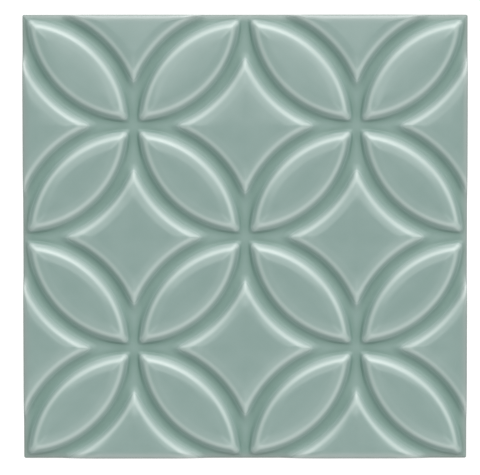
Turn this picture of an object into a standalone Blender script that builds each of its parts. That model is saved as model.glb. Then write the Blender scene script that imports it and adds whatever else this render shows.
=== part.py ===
"""A square glazed ceramic wall tile, pressed in one piece with a relief of overlapping circles.

The tile lies face up on its back, with its origin in the middle of the back, on the level that
it rests on. +Z points out of the glazed face.

The relief repeats on a square lattice of CELLS by CELLS cells. Every second lattice point is
the centre of a ring-shaped groove whose radius is one cell, so that neighbouring rings cross
at the lattice points between them. What stays proud between the grooves is a pointed petal on
the diagonal of each cell, and a four-pointed diamond in the middle of each ring.
"""

import math

import bpy

# Driving dimensions, in metres and radians.
SIDE = 0.148
THICKNESS = 0.009
EDGE_ROUNDING = 0.0010
CORNER_ROUNDING = 0.0006

# Four cells are a little wider than the tile, so that the pattern runs on across a joint.
CELLS = 4
CELL = 0.0371

GROOVE_DEPTH = 0.0021
GROOVE_FOOT_RADIUS = 0.0022
GROOVE_WALL_ANGLE = math.radians(31)
GROOVE_CREST_RADIUS = 0.0038
GROOVE_SHOULDER_ANGLE = math.radians(9)
GROOVE_SHOULDER_WIDTH = 0.0028

KEY_POCKETS_PER_SIDE = 8
KEY_POCKET_DEPTH = 0.0005
KEY_LAND_WIDTH = 0.0035
KEY_BORDER_WIDTH = 0.0075

# How finely the round shapes are faceted.
RING_STEPS = 48
ARC_STEPS = 2
EDGE_STEPS = 2

CUT_CLEARANCE = 0.001
MERGE_DISTANCE = 0.00001


def clear_scene():
    for obj in list(bpy.data.objects):
        bpy.data.objects.remove(obj)


def new_collection(name, parent):
    collection = bpy.data.collections.new(name)
    parent.children.link(collection)
    return collection


def move_to(obj, collection):
    for owner in list(obj.users_collection):
        owner.objects.unlink(obj)
    collection.objects.link(obj)


def make_cutter(obj):
    obj.hide_render = True
    obj.display_type = "WIRE"


def add_box(name, low, high, collection):
    """A box between two corners, with its origin in the middle and no scale left on it."""
    bpy.ops.mesh.primitive_cube_add(size=1)
    box = bpy.context.object
    box.name = name
    box.data.name = name
    box.dimensions = [b - a for a, b in zip(low, high)]
    box.location = [(a + b) / 2 for a, b in zip(low, high)]
    bpy.ops.object.transform_apply(location=False, rotation=False, scale=True)
    move_to(box, collection)
    return box


def glaze_material():
    """A pale grey-green gloss glaze."""
    material = bpy.data.materials.new("celadon_glaze")
    material.use_nodes = True
    shader = material.node_tree.nodes["Principled BSDF"]
    shader.inputs["Base Color"].default_value = (0.27, 0.38, 0.35, 1.0)
    shader.inputs["Roughness"].default_value = 0.15
    shader.inputs["Metallic"].default_value = 0.0
    return material


def arc_points(radius, start, end):
    """(run, rise) of the points of an arc whose slope goes from one angle to another."""
    angles = [start + (end - start) * step / ARC_STEPS for step in range(ARC_STEPS + 1)]
    return [
        (
            radius * abs(math.sin(angle) - math.sin(start)),
            radius * abs(math.cos(angle) - math.cos(start)),
        )
        for angle in angles
    ]


def groove_half_section():
    """(distance from the groove's middle, height from the face) along one side of a groove: a
    round foot, a straight wall, a rounded crest and a gently sloping shoulder."""
    foot = arc_points(GROOVE_FOOT_RADIUS, 0, GROOVE_WALL_ANGLE)
    crest = arc_points(GROOVE_CREST_RADIUS, GROOVE_WALL_ANGLE, GROOVE_SHOULDER_ANGLE)
    shoulder_rise = GROOVE_SHOULDER_WIDTH * math.tan(GROOVE_SHOULDER_ANGLE / 2)
    wall_rise = GROOVE_DEPTH - foot[-1][1] - crest[-1][1] - shoulder_rise
    wall_end = foot[-1][0] + wall_rise / math.tan(GROOVE_WALL_ANGLE)
    wall_top = foot[-1][1] + wall_rise
    section = foot + [(wall_end + run, wall_top + rise) for run, rise in crest]
    section.append((section[-1][0] + GROOVE_SHOULDER_WIDTH, GROOVE_DEPTH))
    return [(out, height - GROOVE_DEPTH) for out, height in section]


def add_ring_cutter(name, centre, collection):
    """A turned ring. Its lower side is the groove's section, and its top clears the face."""
    half = groove_half_section()
    inner = [(CELL - out, height) for out, height in reversed(half)]
    outer = [(CELL + out, height) for out, height in half[1:]]
    lid = [(outer[-1][0], CUT_CLEARANCE), (inner[0][0], CUT_CLEARANCE)]
    points = [(radius, 0.0, height) for radius, height in inner + outer + lid]

    mesh = bpy.data.meshes.new(name)
    count = len(points)
    mesh.from_pydata(points, [(i, (i + 1) % count) for i in range(count)], [])
    ring = bpy.data.objects.new(name, mesh)
    collection.objects.link(ring)
    ring.location = (centre[0], centre[1], THICKNESS)

    turn = ring.modifiers.new("turn", "SCREW")
    turn.steps = RING_STEPS
    turn.render_steps = RING_STEPS
    turn.use_merge_vertices = True
    turn.merge_threshold = MERGE_DISTANCE
    turn.use_normal_calculate = True
    make_cutter(ring)


def ring_centres():
    """Every second lattice point, the tile's corners left out."""
    return [
        ((column - CELLS / 2) * CELL, (row - CELLS / 2) * CELL)
        for column in range(CELLS + 1)
        for row in range(CELLS + 1)
        if (column + row) % 2 == 1
    ]


def add_key_pockets(name, collection):
    """A square array of shallow boxes, which the back's keying lands are left between."""
    field = SIDE - 2 * KEY_BORDER_WIDTH
    pitch = (field + KEY_LAND_WIDTH) / KEY_POCKETS_PER_SIDE
    pocket = pitch - KEY_LAND_WIDTH
    start = -field / 2
    low = (start, start, -CUT_CLEARANCE)
    high = (start + pocket, start + pocket, KEY_POCKET_DEPTH)
    pockets = add_box(name, low, high, collection)
    for axis, step in enumerate(((pitch, 0, 0), (0, pitch, 0))):
        row = pockets.modifiers.new(f"repeat_{'xy'[axis]}", "ARRAY")
        row.count = KEY_POCKETS_PER_SIDE
        row.use_relative_offset = False
        row.use_constant_offset = True
        row.constant_offset_displace = step
    make_cutter(pockets)
    return pockets


def bevel_edges(obj, name, width, segments, is_wanted):
    """Rounds the edges that is_wanted picks by their two end points."""
    weights = obj.data.attributes.new(f"bevel_{name}", "FLOAT", "EDGE")
    for edge, weight in zip(obj.data.edges, weights.data):
        ends = [obj.data.vertices[index].co for index in edge.vertices]
        weight.value = 1.0 if is_wanted(*ends) else 0.0
    bevel = obj.modifiers.new(name, "BEVEL")
    bevel.limit_method = "WEIGHT"
    bevel.edge_weight = weights.name
    bevel.width = width
    bevel.segments = segments


def add_blank(name, collection):
    """The plain slab, with its face's edges and its upright corners rounded."""
    half = SIDE / 2
    blank = add_box(name, (-half, -half, 0), (half, half, THICKNESS), collection)
    bevel_edges(
        blank, "round_corners", CORNER_ROUNDING, EDGE_STEPS, lambda a, b: abs(a.z - b.z) > THICKNESS / 2
    )
    bevel_edges(
        blank, "round_face_edges", EDGE_ROUNDING, EDGE_STEPS, lambda a, b: min(a.z, b.z) > 0
    )
    return blank


def cut(obj, name, cutter):
    boolean = obj.modifiers.new(name, "BOOLEAN")
    boolean.operation = "DIFFERENCE"
    boolean.solver = "EXACT"
    if isinstance(cutter, bpy.types.Collection):
        boolean.operand_type = "COLLECTION"
        boolean.collection = cutter
    else:
        boolean.object = cutter


def main():
    clear_scene()
    scene_collection = bpy.context.scene.collection
    parts = new_collection("ceramic_tile", scene_collection)
    cutters = new_collection("cutters", scene_collection)
    rings = new_collection("ring_cutters", cutters)
    for number, centre in enumerate(ring_centres(), start=1):
        add_ring_cutter(f"ring_{number}", centre, rings)
    pockets = add_key_pockets("key_pockets", cutters)

    tile = add_blank("tile", parts)
    cut(tile, "press_grooves", rings)
    cut(tile, "press_key_pockets", pockets)
    tile.data.materials.append(glaze_material())


main()
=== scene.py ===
"""The looks of a square glazed wall tile with a pressed relief of overlapping circles.

Metres, in the CAD's frame: the tile lies face up on its back, centred on the origin.
"""

import math

import bmesh
import bpy
import numpy as np
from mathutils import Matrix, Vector
from mathutils.geometry import delaunay_2d_cdt


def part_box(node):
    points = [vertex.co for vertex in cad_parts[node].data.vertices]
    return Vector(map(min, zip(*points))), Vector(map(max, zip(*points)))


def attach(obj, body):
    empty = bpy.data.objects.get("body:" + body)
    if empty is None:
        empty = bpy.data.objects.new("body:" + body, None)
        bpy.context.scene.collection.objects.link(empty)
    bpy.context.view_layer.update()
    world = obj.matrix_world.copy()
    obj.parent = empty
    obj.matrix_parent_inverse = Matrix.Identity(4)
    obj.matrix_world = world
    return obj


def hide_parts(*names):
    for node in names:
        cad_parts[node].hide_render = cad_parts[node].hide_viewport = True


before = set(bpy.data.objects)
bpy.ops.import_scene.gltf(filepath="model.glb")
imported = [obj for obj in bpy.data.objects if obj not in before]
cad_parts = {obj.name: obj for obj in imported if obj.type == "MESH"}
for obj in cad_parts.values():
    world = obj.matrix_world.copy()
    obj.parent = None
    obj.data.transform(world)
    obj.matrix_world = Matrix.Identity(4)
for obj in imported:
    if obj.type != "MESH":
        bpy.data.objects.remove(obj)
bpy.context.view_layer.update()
tile_low, tile_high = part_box("tile")

SIDE = tile_high.x - tile_low.x
THICKNESS = tile_high.z - tile_low.z
HALF = SIDE / 2
CELLS = 4
CELL = 0.0371

# The groove's section, from its middle outwards: foot, wall, crest and shoulder.
GROOVE_DEPTH = 0.0021
FOOT_RADIUS = 0.0022
WALL_ANGLE = math.radians(31)
CREST_RADIUS = 0.0038
SHOULDER_ANGLE = math.radians(9)
SHOULDER_WIDTH = 0.0028

# How the depths of grooves join. Where two cross, a sum of their powers keeps a petal's tip
# sharp. A third groove that closes in on a diamond's tip adds part of its depth, which fades
# quickly inside the ring. A ridge runs out softly over a share of the depth.
CROSSING_POWER = 2.6
CLOSING_IN_SHARE = 0.8
CLOSING_IN_FADE_POWER = 8
RIDGE_END_BLEND = 0.12

# How densely the points follow the section, and the gaps that their rays may leave.
FOOT_STEPS = 6
WALL_STEPS = 4
CREST_STEPS = 7
SHOULDER_STOPS = (0.1, 0.25, 0.45, 0.7, 1.0)
NARROWEST_RAY_GAP = math.radians(0.3)
WIDEST_RAY_GAP = math.radians(2.6)
LARGEST_FACE = 0.05 * CELL
SAME_POINT = CELL * 2e-5
CUT_TOLERANCE = 1e-6
FILL_TOLERANCE = 1e-7

# The rim, where the face turns down into the sides, and the outline's corners.
RIM_WIDTH = 0.0024
RIM_DEPTH = 0.0007
RIM_STEPS = 6
LINES_INSIDE_RIM = (0.0029, 0.0036, 0.0045)
CORNER_RADIUS = 0.0006

# The sides: the glaze ends part of the way down in a wavy, slightly raised edge.
GLAZE_EDGE_DROP = 0.0040
GLAZE_EDGE_WANDER = 0.0004
WANDER_WAVES = ((3, 0.5), (7, 0.35), (13, 0.3), (29, 0.2), (53, 0.12))
WANDER_SEED = 1.7
GLAZE_STEP = 0.00012
BACK_CHAMFER = 0.0006

# The back's keying pockets, as in the CAD.
POCKETS_PER_SIDE = 8
POCKET_DEPTH = 0.0005
POCKET_LAND = 0.0035
POCKET_BORDER = 0.0075
POCKET_WALL = ((0.0, 0.0), (0.00008, 0.00008), (0.0004, 0.00044), (0.0006, POCKET_DEPTH))

# Bare edges that turn by more than this stay sharp.
SHARP_TURN = math.radians(20)

# The materials' places on the tile.
GLAZE, BISCUIT = 0, 1

# The output type with which Blender's triangulation leaves out what lies inside a hole.
WITHOUT_HOLES = 2

# The clay's colour, and the colours that a glaze of plain and of double thickness give it.
CLAY = (0.48, 0.52, 0.495)
GLAZED = (0.163, 0.233, 0.213)
POOLED = (0.053, 0.119, 0.093)

# How the glaze's thickness varies, as a share of that on the plateaus. It draws back from
# ridges, felt over a short reach and only high on the walls. It gathers with depth, and more so
# in hollows, felt over a longer reach.
THINNEST_GLAZE = 0.25
THICKEST_GLAZE = 2.0
RIDGE_REACH = 0.0008
RIDGE_THINNING = 7.5
MOST_THINNING = 0.5
THINNING_ENDS = 0.75
THINNING_FADE = 0.3
HOLLOW_REACH = 0.0020
HOLLOW_GATHERING = 1.9
DEPTH_GATHERING = 0.25
REACH_DIRECTIONS = 16

# The glaze's fine mottles, and its gloss, which is lost between two shares of the depth.
MOTTLING = 0.10
MOTTLE_SCALE = 110
MOTTLE_DETAIL = 3
GLAZE_IOR = 1.65
GLOSSY, DULL = 0.1, 0.5
GLOSS_FADE = (0.45, 0.8)
COLOUR_STEPS = 8

# The grey that shows through along the outline, where the glaze has run off the edge.
WORN_EDGE = (0.24, 0.24, 0.235)
WORN_WIDTH = 0.0016
WORN_SHARE = 0.4

# The bare clay on the sides and the back.
BISCUIT_DARK = (0.50, 0.44, 0.36)
BISCUIT_LIGHT = (0.62, 0.57, 0.49)
BISCUIT_ROUGHNESS = 0.85
GRAIN_SCALE = 260
GRAIN_DETAIL = 6
GRAIN_HEIGHT = 0.0002
GRAIN_STRENGTH = 0.4

# The photograph's frame and, in it, the middle of the tile's face and the size of a cell.
PHOTO_WIDTH = 480
PHOTO_HEIGHT = 475
PHOTO_MIDDLE_X = 245.08
PHOTO_MIDDLE_Y = 237.47
PHOTO_CELL = 111.53
SENSOR_WIDTH = 36
CAMERA_DISTANCE = 1.0
CAMERA_TILT = math.radians(2.91)
CAMERA_ROLL = math.radians(-0.03)

# Each lamp's tilt from straight above, its turn from +Y towards +X, the angles from its middle
# at which it starts and ends to fade, all in degrees, and its radiance. The room's own radiance
# is added.
LAMPS = (
    (50, -5, 8, 43, 1.85),
    (46, 44, 8, 40, 2.4),
    (45, 154, 8, 40, 1.2),
    (45, 192, 8, 40, 0.45),
    (50, -28, 8, 43, 1.2),
    (20, 0, 18.8, 21.2, 1.35),
    (25, 180, 18.8, 20.4, 0.21),
)
ROOM_RADIANCE = 0.29

FLOOR_SIZE = 6
FLOOR_GREY = (0.15, 0.15, 0.15)
FLOOR_ROUGHNESS = 0.9
FLOOR_SPECULAR = 0.2
FLOOR_GLOW = 0.92


def shoulder_radius():
    return SHOULDER_WIDTH / math.sin(SHOULDER_ANGLE)


def section_ends():
    """Distances from the groove's middle at which the foot, the wall, the crest and the
    shoulder end."""
    shoulder_drop = shoulder_radius() * (1 - math.cos(SHOULDER_ANGLE))
    crest_run = CREST_RADIUS * (math.sin(WALL_ANGLE) - math.sin(SHOULDER_ANGLE))
    crest_drop = CREST_RADIUS * (math.cos(SHOULDER_ANGLE) - math.cos(WALL_ANGLE))
    foot_end = FOOT_RADIUS * math.sin(WALL_ANGLE)
    foot_drop = FOOT_RADIUS * (1 - math.cos(WALL_ANGLE))
    wall_run = (GROOVE_DEPTH - shoulder_drop - crest_drop - foot_drop) / math.tan(WALL_ANGLE)
    ends = np.cumsum([foot_end, wall_run, crest_run, SHOULDER_WIDTH])
    return [float(end) for end in ends]


FOOT_END, WALL_END, CREST_END, SHOULDER_END = section_ends()


def groove_drop(offset):
    """How far the face lies below the plateau at a distance from one groove's middle."""
    shoulder_run = np.clip(SHOULDER_END - offset, 0, SHOULDER_WIDTH)
    shoulder = shoulder_radius() - np.sqrt(shoulder_radius() ** 2 - shoulder_run**2)

    flattest = CREST_RADIUS * math.sin(SHOULDER_ANGLE)
    steepest = CREST_RADIUS * math.sin(WALL_ANGLE)
    crest_run = np.clip(CREST_END + flattest - offset, flattest, steepest)
    crest = CREST_RADIUS * math.cos(SHOULDER_ANGLE) - np.sqrt(CREST_RADIUS**2 - crest_run**2)

    wall = np.clip(WALL_END - offset, 0, WALL_END - FOOT_END) * math.tan(WALL_ANGLE)

    foot_run = np.clip(offset, 0, FOOT_END)
    foot = np.sqrt(FOOT_RADIUS**2 - foot_run**2) - FOOT_RADIUS * math.cos(WALL_ANGLE)
    return shoulder + crest + wall + foot


def to_unit_triangle(x, y):
    """Where the points lie, in cells, once mirrored into the relief's smallest repeat: the
    triangle between an even lattice point at (0, 0), an odd one at (1, 0) and the cell's
    middle."""
    across, up = (1 - np.abs(np.mod(place / CELL + CELLS / 2, 2) - 1) for place in (x, y))
    u, v = np.maximum(across, up), np.minimum(across, up)
    beyond_middle = u + v > 1
    return np.where(beyond_middle, 1 - v, u), np.where(beyond_middle, 1 - u, v)


def groove_share(u, v, centre_u, centre_v):
    """The depth that the groove about a centre has at (u, v), as a share of the full depth."""
    offset = CELL * np.abs(np.hypot(u - centre_u, v - centre_v) - 1)
    return np.clip(groove_drop(offset) / GROOVE_DEPTH, 0, 1)


def relief_drop(x, y):
    """How far the relief lies below the plateau. A petal keeps its height up to its tips,
    where its two grooves cross. A diamond's tip lies between two grooves that close in on
    each other: their depths add up there, until nothing is left standing."""
    u, v = to_unit_triangle(x, y)
    nearest = groove_share(u, v, 0, 1)
    crossing = groove_share(u, v, 1, 0)
    closing_in = groove_share(u, v, 0, -1)
    outside = np.hypot(u, v - 1) > 1
    crossed = (nearest**CROSSING_POWER + crossing**CROSSING_POWER) ** (1 / CROSSING_POWER)
    reach = np.where(outside, 1, nearest**CLOSING_IN_FADE_POWER)
    depth = crossed + CLOSING_IN_SHARE * closing_in * reach
    above_floor = 1 - depth + np.hypot(1 - depth, RIDGE_END_BLEND)
    return GROOVE_DEPTH * (1 - above_floor / (1 + math.hypot(1, RIDGE_END_BLEND)))


def rim_drop(inset):
    """How far the rim's elliptical rounding lies below the face at a distance inside the
    outline."""
    run = np.clip(1 - inset / RIM_WIDTH, 0, 1)
    return RIM_DEPTH * (1 - np.sqrt(1 - run**2))


def face_height(x, y):
    inset = HALF - np.maximum(np.abs(x), np.abs(y))
    return THICKNESS - relief_drop(x, y) - rim_drop(inset)


def section_levels():
    """Offsets from a groove's middle, in cells, at which lines of points follow the arc."""
    foot = np.linspace(0, FOOT_END, FOOT_STEPS + 1)[1:]
    wall = np.linspace(FOOT_END, WALL_END, WALL_STEPS + 1)[1:]
    crest = np.linspace(WALL_END, CREST_END, CREST_STEPS + 1)[1:]
    shoulder = CREST_END + SHOULDER_WIDTH * np.array(SHOULDER_STOPS)
    return np.concatenate([foot, wall, crest, shoulder]) / CELL


def ray_angles(levels):
    """Angles of the rays about a ring's centre: one where each level reaches a side of the
    unit triangle, and more where those leave wide gaps."""
    inner = levels[levels < 1 - math.sqrt(0.5)]
    reach_inner = math.pi / 4 - np.arccos(1 / (math.sqrt(2) * (1 - inner)))
    reach_outer = np.arccos(1 / (1 + levels))
    wanted = np.sort(np.concatenate([reach_inner, reach_outer, [math.pi / 4]]))
    angles = [0.0]
    for angle in wanted[wanted <= math.pi / 4]:
        last = angles[-1]
        if angle - last < NARROWEST_RAY_GAP:
            continue
        pieces = math.ceil((angle - last) / WIDEST_RAY_GAP)
        angles.extend(last + (angle - last) * (k + 1) / pieces for k in range(pieces))
    angles[-1] = math.pi / 4
    return angles


def unit_triangle():
    """Points (u, v), in cells, and faces of the relief's smallest repeat: the triangle between
    an even lattice point at (0, 0), an odd one at (1, 0) and the cell's middle. Its one groove
    follows a circle about (0, 1), so its points lie on rays from there."""
    levels = section_levels()
    slack = 1e-4
    points, faces, previous = [], [], None
    for angle in ray_angles(levels):
        sine, cosine = math.sin(angle), math.cos(angle)
        low, high = 1 / (sine + cosine), 1 / cosine
        inner = [(-k, 1 - level) for k, level in enumerate(levels, 1) if 1 - level > low + slack]
        outer = [(k, 1 + level) for k, level in enumerate(levels, 1) if 1 + level < high - slack]
        ray = [("low", low), *reversed(inner), (0, 1.0), *outer, ("high", high)]
        if angle == 0:
            ray = [("tip", 1.0)]
        current = []
        for name, radius in ray:
            current.append((name, len(points)))
            points.append((radius * sine, 1 - radius * cosine))
        if previous:
            faces.extend(faces_between(previous, current))
        previous = current
    return np.array(points), faces


def faces_between(before, after):
    """Faces between two neighbouring rays, each a list of (level, point). The later ray has
    all the levels of the earlier one, and may have more at its two ends."""
    if len(before) == 1:
        tip = before[0][1]
        return [(tip, a, b) for (_, a), (_, b) in zip(after, after[1:])]
    place = {name: k for k, (name, _) in enumerate(after)}
    faces = []
    for (name_a, a), (name_b, b) in zip(before, before[1:]):
        run = [point for _, point in after[place[name_a] : place[name_b] + 1]]
        if len(run) == 2:
            faces.append((a, run[0], run[1], b))
            continue
        turn = len(run) - 1 if name_a == "low" else 0
        faces.extend((a, p, q) for p, q in zip(run[:turn], run[1 : turn + 1]))
        faces.append((a, run[turn], b))
        faces.extend((b, p, q) for p, q in zip(run[turn:], run[turn + 1 :]))
    return faces


def lattice_edges():
    """(even end, odd end, side) of each lattice edge, for each side on which a cell lies."""
    for column in range(CELLS + 1):
        for row in range(CELLS + 1):
            for step in ((1, 0), (0, 1)):
                start, end = (column, row), (column + step[0], row + step[1])
                if max(end) > CELLS:
                    continue
                even, odd = (start, end) if (column + row) % 2 == 0 else (end, start)
                for sign in (1, -1):
                    side = (sign * step[1], sign * step[0])
                    middle = [(a + b + c) / 2 for a, b, c in zip(even, odd, side)]
                    if min(middle) > 0 and max(middle) < CELLS:
                        yield even, odd, side


def flat_plan():
    """The face's plan in the plane z = 0: copies of the unit triangle, turned and mirrored."""
    points, faces = unit_triangle()
    mesh = bmesh.new()
    for even, odd, side in lattice_edges():
        along = np.subtract(odd, even)
        place = np.array(even) + points[:, :1] * along + points[:, 1:] * np.array(side)
        verts = [mesh.verts.new((x, y, 0)) for x, y in (place - CELLS / 2) * CELL]
        mirrored = along[0] * side[1] - along[1] * side[0] > 0
        for face in faces:
            corners = [verts[k] for k in face]
            mesh.faces.new(corners[::-1] if mirrored else corners)
    bmesh.ops.remove_doubles(mesh, verts=mesh.verts, dist=SAME_POINT)
    return mesh


def cut_rim_lines(mesh):
    """Trims the plan to the outline, with a line of edges on all four sides at each step of
    the rim's rounding and at some steps inside it."""
    rounding = [RIM_WIDTH * (1 - math.cos(k / RIM_STEPS * math.pi / 2)) for k in range(RIM_STEPS + 1)]
    zone = HALF - max(LINES_INSIDE_RIM) - LARGEST_FACE
    for inset in (*rounding, *LINES_INSIDE_RIM):
        for way in ((1, 0, 0), (-1, 0, 0), (0, 1, 0), (0, -1, 0)):
            normal = Vector(way)
            faces = [f for f in mesh.faces if f.calc_center_median().dot(normal) > zone]
            geometry = dict.fromkeys(part for f in faces for part in (f, *f.edges, *f.verts))
            bmesh.ops.bisect_plane(
                mesh,
                geom=list(geometry),
                dist=CUT_TOLERANCE,
                plane_co=normal * (HALF - inset),
                plane_no=normal,
                clear_outer=inset == 0,
            )


def with_round_corners(x, y):
    """Bends the small squares at the outline's corners into quarter discs."""
    start = HALF - CORNER_RADIUS
    out_x = np.clip(np.abs(x) - start, 0, None)
    out_y = np.clip(np.abs(y) - start, 0, None)
    corner = (out_x > 0) & (out_y > 0)
    shrink = np.maximum(out_x, out_y) / np.where(corner, np.hypot(out_x, out_y), 1)
    bent_x = np.where(corner, np.sign(x) * (start + out_x * shrink), x)
    bent_y = np.where(corner, np.sign(y) * (start + out_y * shrink), y)
    return bent_x, bent_y


def hollowness(x, y, radius):
    """How far the relief's mean height on a circle about each point lies above the point, as
    a share of the radius: above 0 in a hollow, below 0 on a ridge."""
    turns = np.linspace(0, 2 * math.pi, REACH_DIRECTIONS, endpoint=False)
    around = sum(relief_drop(x + radius * math.cos(t), y + radius * math.sin(t)) for t in turns)
    return (relief_drop(x, y) - around / len(turns)) / radius


def glaze_thickness(x, y):
    """The glaze's thickness as a share of that on the plateaus."""
    depth_share = relief_drop(x, y) / GROOVE_DEPTH
    high_up = np.clip((THINNING_ENDS - depth_share) / THINNING_FADE, 0, 1)
    ridge = np.clip(-hollowness(x, y, RIDGE_REACH), 0, None) * high_up
    hollow = np.clip(hollowness(x, y, HOLLOW_REACH), 0, None)
    thinned = np.clip(RIDGE_THINNING * ridge, 0, MOST_THINNING)
    gathered = DEPTH_GATHERING * depth_share + HOLLOW_GATHERING * hollow
    return np.clip(1 - thinned + gathered, THINNEST_GLAZE, THICKEST_GLAZE)


def edge_wear(x, y):
    """How far the glaze has given way to the grey along the outline."""
    inset = HALF - np.maximum(np.abs(x), np.abs(y))
    return WORN_SHARE * np.exp(-((inset / WORN_WIDTH) ** 2))


def wander(turn, seed):
    """A smooth irregular wave around the tile, from about -1 to 1."""
    return sum(size * math.sin(count * turn + seed * count**1.3) for count, size in WANDER_WAVES)


def add_skirt(mesh, upper, lower, material):
    """Quads between two loops that run counter-clockwise, seen from above."""
    count = len(upper)
    for k in range(count):
        after = (k + 1) % count
        face = mesh.faces.new((upper[k], lower[k], lower[after], upper[after]))
        face.material_index = material


def add_sides(mesh):
    """Glazed and bare sides, down to a chamfer at the back. Returns the loop on the back."""
    rim = [v for v in mesh.verts if v.is_boundary]
    rim.sort(key=lambda v: math.atan2(v.co.y, v.co.x))
    turns = [math.atan2(v.co.y, v.co.x) for v in rim]
    edge_height = THICKNESS - GLAZE_EDGE_DROP
    glaze_edge = [edge_height + GLAZE_EDGE_WANDER * wander(turn, WANDER_SEED) for turn in turns]

    thickness = mesh.verts.layers.float["glaze_thickness"]

    def loop(inset, heights):
        scale = (HALF - inset) / HALF
        verts = [mesh.verts.new((v.co.x * scale, v.co.y * scale, z)) for v, z in zip(rim, heights)]
        for vert in verts:
            vert[thickness] = 1
        return verts

    middle = [(v.co.z + z) / 2 for v, z in zip(rim, glaze_edge)]
    rows = [
        (loop(0, middle), GLAZE),
        (loop(0, [z + GLAZE_STEP for z in glaze_edge]), GLAZE),
        (loop(GLAZE_STEP, glaze_edge), GLAZE),
        (loop(GLAZE_STEP, [BACK_CHAMFER] * len(rim)), BISCUIT),
        (loop(GLAZE_STEP + BACK_CHAMFER, [0] * len(rim)), BISCUIT),
    ]
    upper = rim
    for lower, material in rows:
        add_skirt(mesh, upper, lower, material)
        upper = lower
    return upper


def add_pocket(mesh, low_x, low_y, width):
    """The drafted walls and the bottom of a keying pocket. Returns the loop on the back."""
    loops = []
    for inset, depth in POCKET_WALL:
        near, far = inset, width - inset
        corners = ((near, near), (far, near), (far, far), (near, far))
        loops.append([mesh.verts.new((low_x + x, low_y + y, depth)) for x, y in corners])
    for outer, inner in zip(loops, loops[1:]):
        for k in range(4):
            after = (k + 1) % 4
            face = mesh.faces.new((outer[k], outer[after], inner[after], inner[k]))
            face.material_index = BISCUIT
    bottom = mesh.faces.new(loops[-1][::-1])
    bottom.material_index = BISCUIT
    return loops[0]


def add_back(mesh, outer):
    """The back's lands, with a square array of keying pockets in them."""
    pitch = (SIDE - 2 * POCKET_BORDER + POCKET_LAND) / POCKETS_PER_SIDE
    start = POCKET_BORDER - HALF
    loops = [outer]
    for column in range(POCKETS_PER_SIDE):
        for row in range(POCKETS_PER_SIDE):
            place = (start + column * pitch, start + row * pitch)
            loops.append(add_pocket(mesh, *place, pitch - POCKET_LAND))
    verts = [v for loop in loops for v in loop]
    outlines, first = [], 0
    for loop in loops:
        outlines.append(range(first, first + len(loop)))
        first += len(loop)
    flat = [Vector((v.co.x, v.co.y)) for v in verts]
    filled = delaunay_2d_cdt(flat, [], outlines, WITHOUT_HOLES, FILL_TOLERANCE)
    _, _, triangles, origins, _, _ = filled
    for triangle in triangles:
        face = mesh.faces.new([verts[origins[k][0]] for k in reversed(triangle)])
        face.material_index = BISCUIT


def build_tile():
    mesh = flat_plan()
    cut_rim_lines(mesh)
    co = np.array([v.co for v in mesh.verts])
    x, y = co[:, 0], co[:, 1]
    bent_x, bent_y = with_round_corners(x, y)
    for vert, place in zip(mesh.verts, zip(bent_x, bent_y, face_height(x, y))):
        vert.co = place
    shares = {
        "glaze_thickness": glaze_thickness(x, y),
        "depth_share": relief_drop(x, y) / GROOVE_DEPTH,
        "edge_wear": edge_wear(x, y),
    }
    for name, values in shares.items():
        layer = mesh.verts.layers.float.new(name)
        for vert, value in zip(mesh.verts, values):
            vert[layer] = value

    outer = add_sides(mesh)
    add_back(mesh, outer)

    for face in mesh.faces:
        face.smooth = True
    mesh.normal_update()
    for edge in mesh.edges:
        bare = any(face.material_index == BISCUIT for face in edge.link_faces)
        if bare and edge.calc_face_angle(0) > SHARP_TURN:
            edge.smooth = False
    data = bpy.data.meshes.new("relief_tile")
    mesh.to_mesh(data)
    mesh.free()
    return data


def new_material(name, roughness):
    material = bpy.data.materials.new(name)
    material.use_nodes = True
    shader = material.node_tree.nodes["Principled BSDF"]
    shader.inputs["Roughness"].default_value = roughness
    return material, material.node_tree, shader


def glaze_colour(thickness):
    """Light that the clay sends back through a glaze of that thickness."""
    thin, thick, beyond = CLAY, GLAZED, thickness
    if thickness >= 1:
        thin, thick, beyond = GLAZED, POOLED, thickness - 1
    return [start * (end / start) ** beyond for start, end in zip(thin, thick)] + [1]


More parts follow.
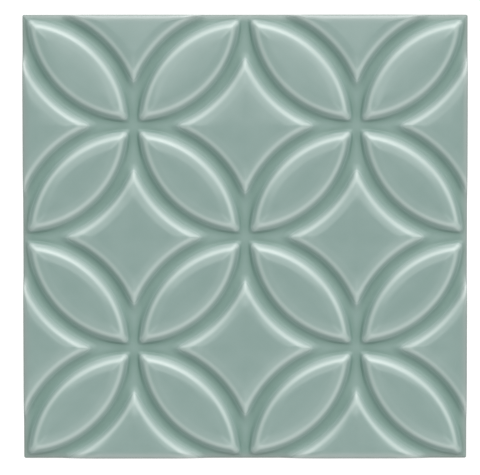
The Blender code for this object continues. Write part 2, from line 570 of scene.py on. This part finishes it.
def glaze_material():
    """Celadon glaze: pale where it runs thin over edges, deep green where it pools."""
    material, tree, shader = new_material("celadon_glaze", GLOSSY)
    nodes, links = tree.nodes, tree.links
    shader.inputs["IOR"].default_value = GLAZE_IOR

    thickness = nodes.new("ShaderNodeAttribute")
    thickness.attribute_name = "glaze_thickness"
    place = nodes.new("ShaderNodeTexCoord")
    mottles = nodes.new("ShaderNodeTexNoise")
    mottles.inputs["Scale"].default_value = MOTTLE_SCALE
    mottles.inputs["Detail"].default_value = MOTTLE_DETAIL
    links.new(place.outputs["Object"], mottles.inputs["Vector"])
    unevenness = nodes.new("ShaderNodeMapRange")
    unevenness.inputs["To Min"].default_value = 1 - MOTTLING
    unevenness.inputs["To Max"].default_value = 1 + MOTTLING
    links.new(mottles.outputs["Fac"], unevenness.inputs["Value"])
    mottled = nodes.new("ShaderNodeMath")
    mottled.operation = "MULTIPLY"
    links.new(thickness.outputs["Fac"], mottled.inputs[0])
    links.new(unevenness.outputs["Result"], mottled.inputs[1])
    as_share = nodes.new("ShaderNodeMapRange")
    as_share.inputs["From Max"].default_value = THICKEST_GLAZE
    links.new(mottled.outputs["Value"], as_share.inputs["Value"])
    ramp = nodes.new("ShaderNodeValToRGB")
    stops = ramp.color_ramp.elements
    stops[0].color = glaze_colour(0)
    stops[1].color = glaze_colour(THICKEST_GLAZE)
    for step in range(1, COLOUR_STEPS):
        stops.new(step / COLOUR_STEPS).color = glaze_colour(THICKEST_GLAZE * step / COLOUR_STEPS)
    links.new(as_share.outputs["Result"], ramp.inputs["Fac"])
    wear = nodes.new("ShaderNodeAttribute")
    wear.attribute_name = "edge_wear"
    worn = nodes.new("ShaderNodeMix")
    worn.data_type = "RGBA"
    glazed, bared = (socket for socket in worn.inputs if socket.type == "RGBA")
    mixed = next(socket for socket in worn.outputs if socket.type == "RGBA")
    bared.default_value = (*WORN_EDGE, 1)
    links.new(wear.outputs["Fac"], worn.inputs["Factor"])
    links.new(ramp.outputs["Color"], glazed)
    links.new(mixed, shader.inputs["Base Color"])

    depth = nodes.new("ShaderNodeAttribute")
    depth.attribute_name = "depth_share"
    roughness = nodes.new("ShaderNodeMapRange")
    roughness.interpolation_type = "SMOOTHSTEP"
    roughness.inputs["From Min"].default_value = GLOSS_FADE[0]
    roughness.inputs["From Max"].default_value = GLOSS_FADE[1]
    roughness.inputs["To Min"].default_value = GLOSSY
    roughness.inputs["To Max"].default_value = DULL
    links.new(depth.outputs["Fac"], roughness.inputs["Value"])
    links.new(roughness.outputs["Result"], shader.inputs["Roughness"])
    return material


def biscuit_material():
    """Bare fired clay on the sides and the back."""
    material, tree, shader = new_material("bare_biscuit", BISCUIT_ROUGHNESS)
    nodes, links = tree.nodes, tree.links
    noise = nodes.new("ShaderNodeTexNoise")
    noise.inputs["Scale"].default_value = GRAIN_SCALE
    noise.inputs["Detail"].default_value = GRAIN_DETAIL
    place = nodes.new("ShaderNodeTexCoord")
    links.new(place.outputs["Object"], noise.inputs["Vector"])
    ramp = nodes.new("ShaderNodeValToRGB")
    ramp.color_ramp.elements[0].color = (*BISCUIT_DARK, 1)
    ramp.color_ramp.elements[1].color = (*BISCUIT_LIGHT, 1)
    links.new(noise.outputs["Fac"], ramp.inputs["Fac"])
    links.new(ramp.outputs["Color"], shader.inputs["Base Color"])
    bump = nodes.new("ShaderNodeBump")
    bump.inputs["Strength"].default_value = GRAIN_STRENGTH
    bump.inputs["Distance"].default_value = GRAIN_HEIGHT
    links.new(noise.outputs["Fac"], bump.inputs["Height"])
    links.new(bump.outputs["Normal"], shader.inputs["Normal"])
    return material


def add_tile():
    tile = bpy.data.objects.new("relief_tile", build_tile())
    bpy.context.scene.collection.objects.link(tile)
    tile.data.materials.append(glaze_material())
    tile.data.materials.append(biscuit_material())
    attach(tile, "root")
    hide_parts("tile")
    return tile


def add_floor():
    """A pale floor that glows a little, so that it stays white in the tile's shadow."""
    bpy.ops.mesh.primitive_plane_add(size=FLOOR_SIZE, location=(0, 0, 0))
    floor = bpy.context.object
    floor.name = "floor"
    material, _, shader = new_material("pale_floor", FLOOR_ROUGHNESS)
    shader.inputs["Base Color"].default_value = (*FLOOR_GREY, 1)
    shader.inputs["Specular IOR Level"].default_value = FLOOR_SPECULAR
    shader.inputs["Emission Color"].default_value = (1, 1, 1, 1)
    shader.inputs["Emission Strength"].default_value = FLOOR_GLOW
    floor.data.materials.append(material)


def add_studio_light():
    """A white room with soft lamps, each of which fades out around its middle."""
    world = bpy.data.worlds.new("studio")
    world.use_nodes = True
    nodes, links = world.node_tree.nodes, world.node_tree.links
    sight = nodes.new("ShaderNodeTexCoord")
    total = None
    for *angles, radiance in LAMPS:
        tilt, turn, inner_spread, outer_spread = (math.radians(angle) for angle in angles)
        nearness = nodes.new("ShaderNodeVectorMath")
        nearness.operation = "DOT_PRODUCT"
        sideways = math.sin(tilt)
        towards = (sideways * math.sin(turn), sideways * math.cos(turn), math.cos(tilt))
        nearness.inputs[1].default_value = towards
        links.new(sight.outputs["Generated"], nearness.inputs[0])
        glow = nodes.new("ShaderNodeMapRange")
        glow.interpolation_type = "SMOOTHSTEP"
        glow.inputs["From Min"].default_value = math.cos(outer_spread)
        glow.inputs["From Max"].default_value = math.cos(inner_spread)
        glow.inputs["To Max"].default_value = radiance
        links.new(nearness.outputs["Value"], glow.inputs["Value"])
        add = nodes.new("ShaderNodeMath")
        add.inputs[1].default_value = ROOM_RADIANCE
        links.new(glow.outputs["Result"], add.inputs[0])
        if total:
            links.new(total, add.inputs[1])
        total = add.outputs["Value"]
    background = nodes["Background"]
    background.inputs["Color"].default_value = (1, 1, 1, 1)
    links.new(total, background.inputs["Strength"])
    bpy.context.scene.world = world


def add_camera():
    """Looks down on the face from a little towards +Y, framed as the photograph is."""
    scale = CELL / PHOTO_CELL
    camera_data = bpy.data.cameras.new("camera")
    camera_data.sensor_fit = "HORIZONTAL"
    camera_data.sensor_width = SENSOR_WIDTH
    camera_data.lens = SENSOR_WIDTH * CAMERA_DISTANCE / (scale * PHOTO_WIDTH)
    camera_data.clip_start = 0.01
    camera = bpy.data.objects.new("camera", camera_data)
    bpy.context.scene.collection.objects.link(camera)
    off_x = (PHOTO_WIDTH / 2 - PHOTO_MIDDLE_X) * scale
    off_y = (PHOTO_MIDDLE_Y - PHOTO_HEIGHT / 2) * scale
    camera.location = (
        off_x,
        off_y + CAMERA_DISTANCE * math.sin(CAMERA_TILT),
        THICKNESS + CAMERA_DISTANCE * math.cos(CAMERA_TILT),
    )
    camera.rotation_euler = (-CAMERA_TILT, 0, CAMERA_ROLL)
    bpy.context.scene.camera = camera


add_tile()
add_floor()
add_studio_light()
add_camera()
bpy.context.scene.view_settings.view_transform = "Standard"
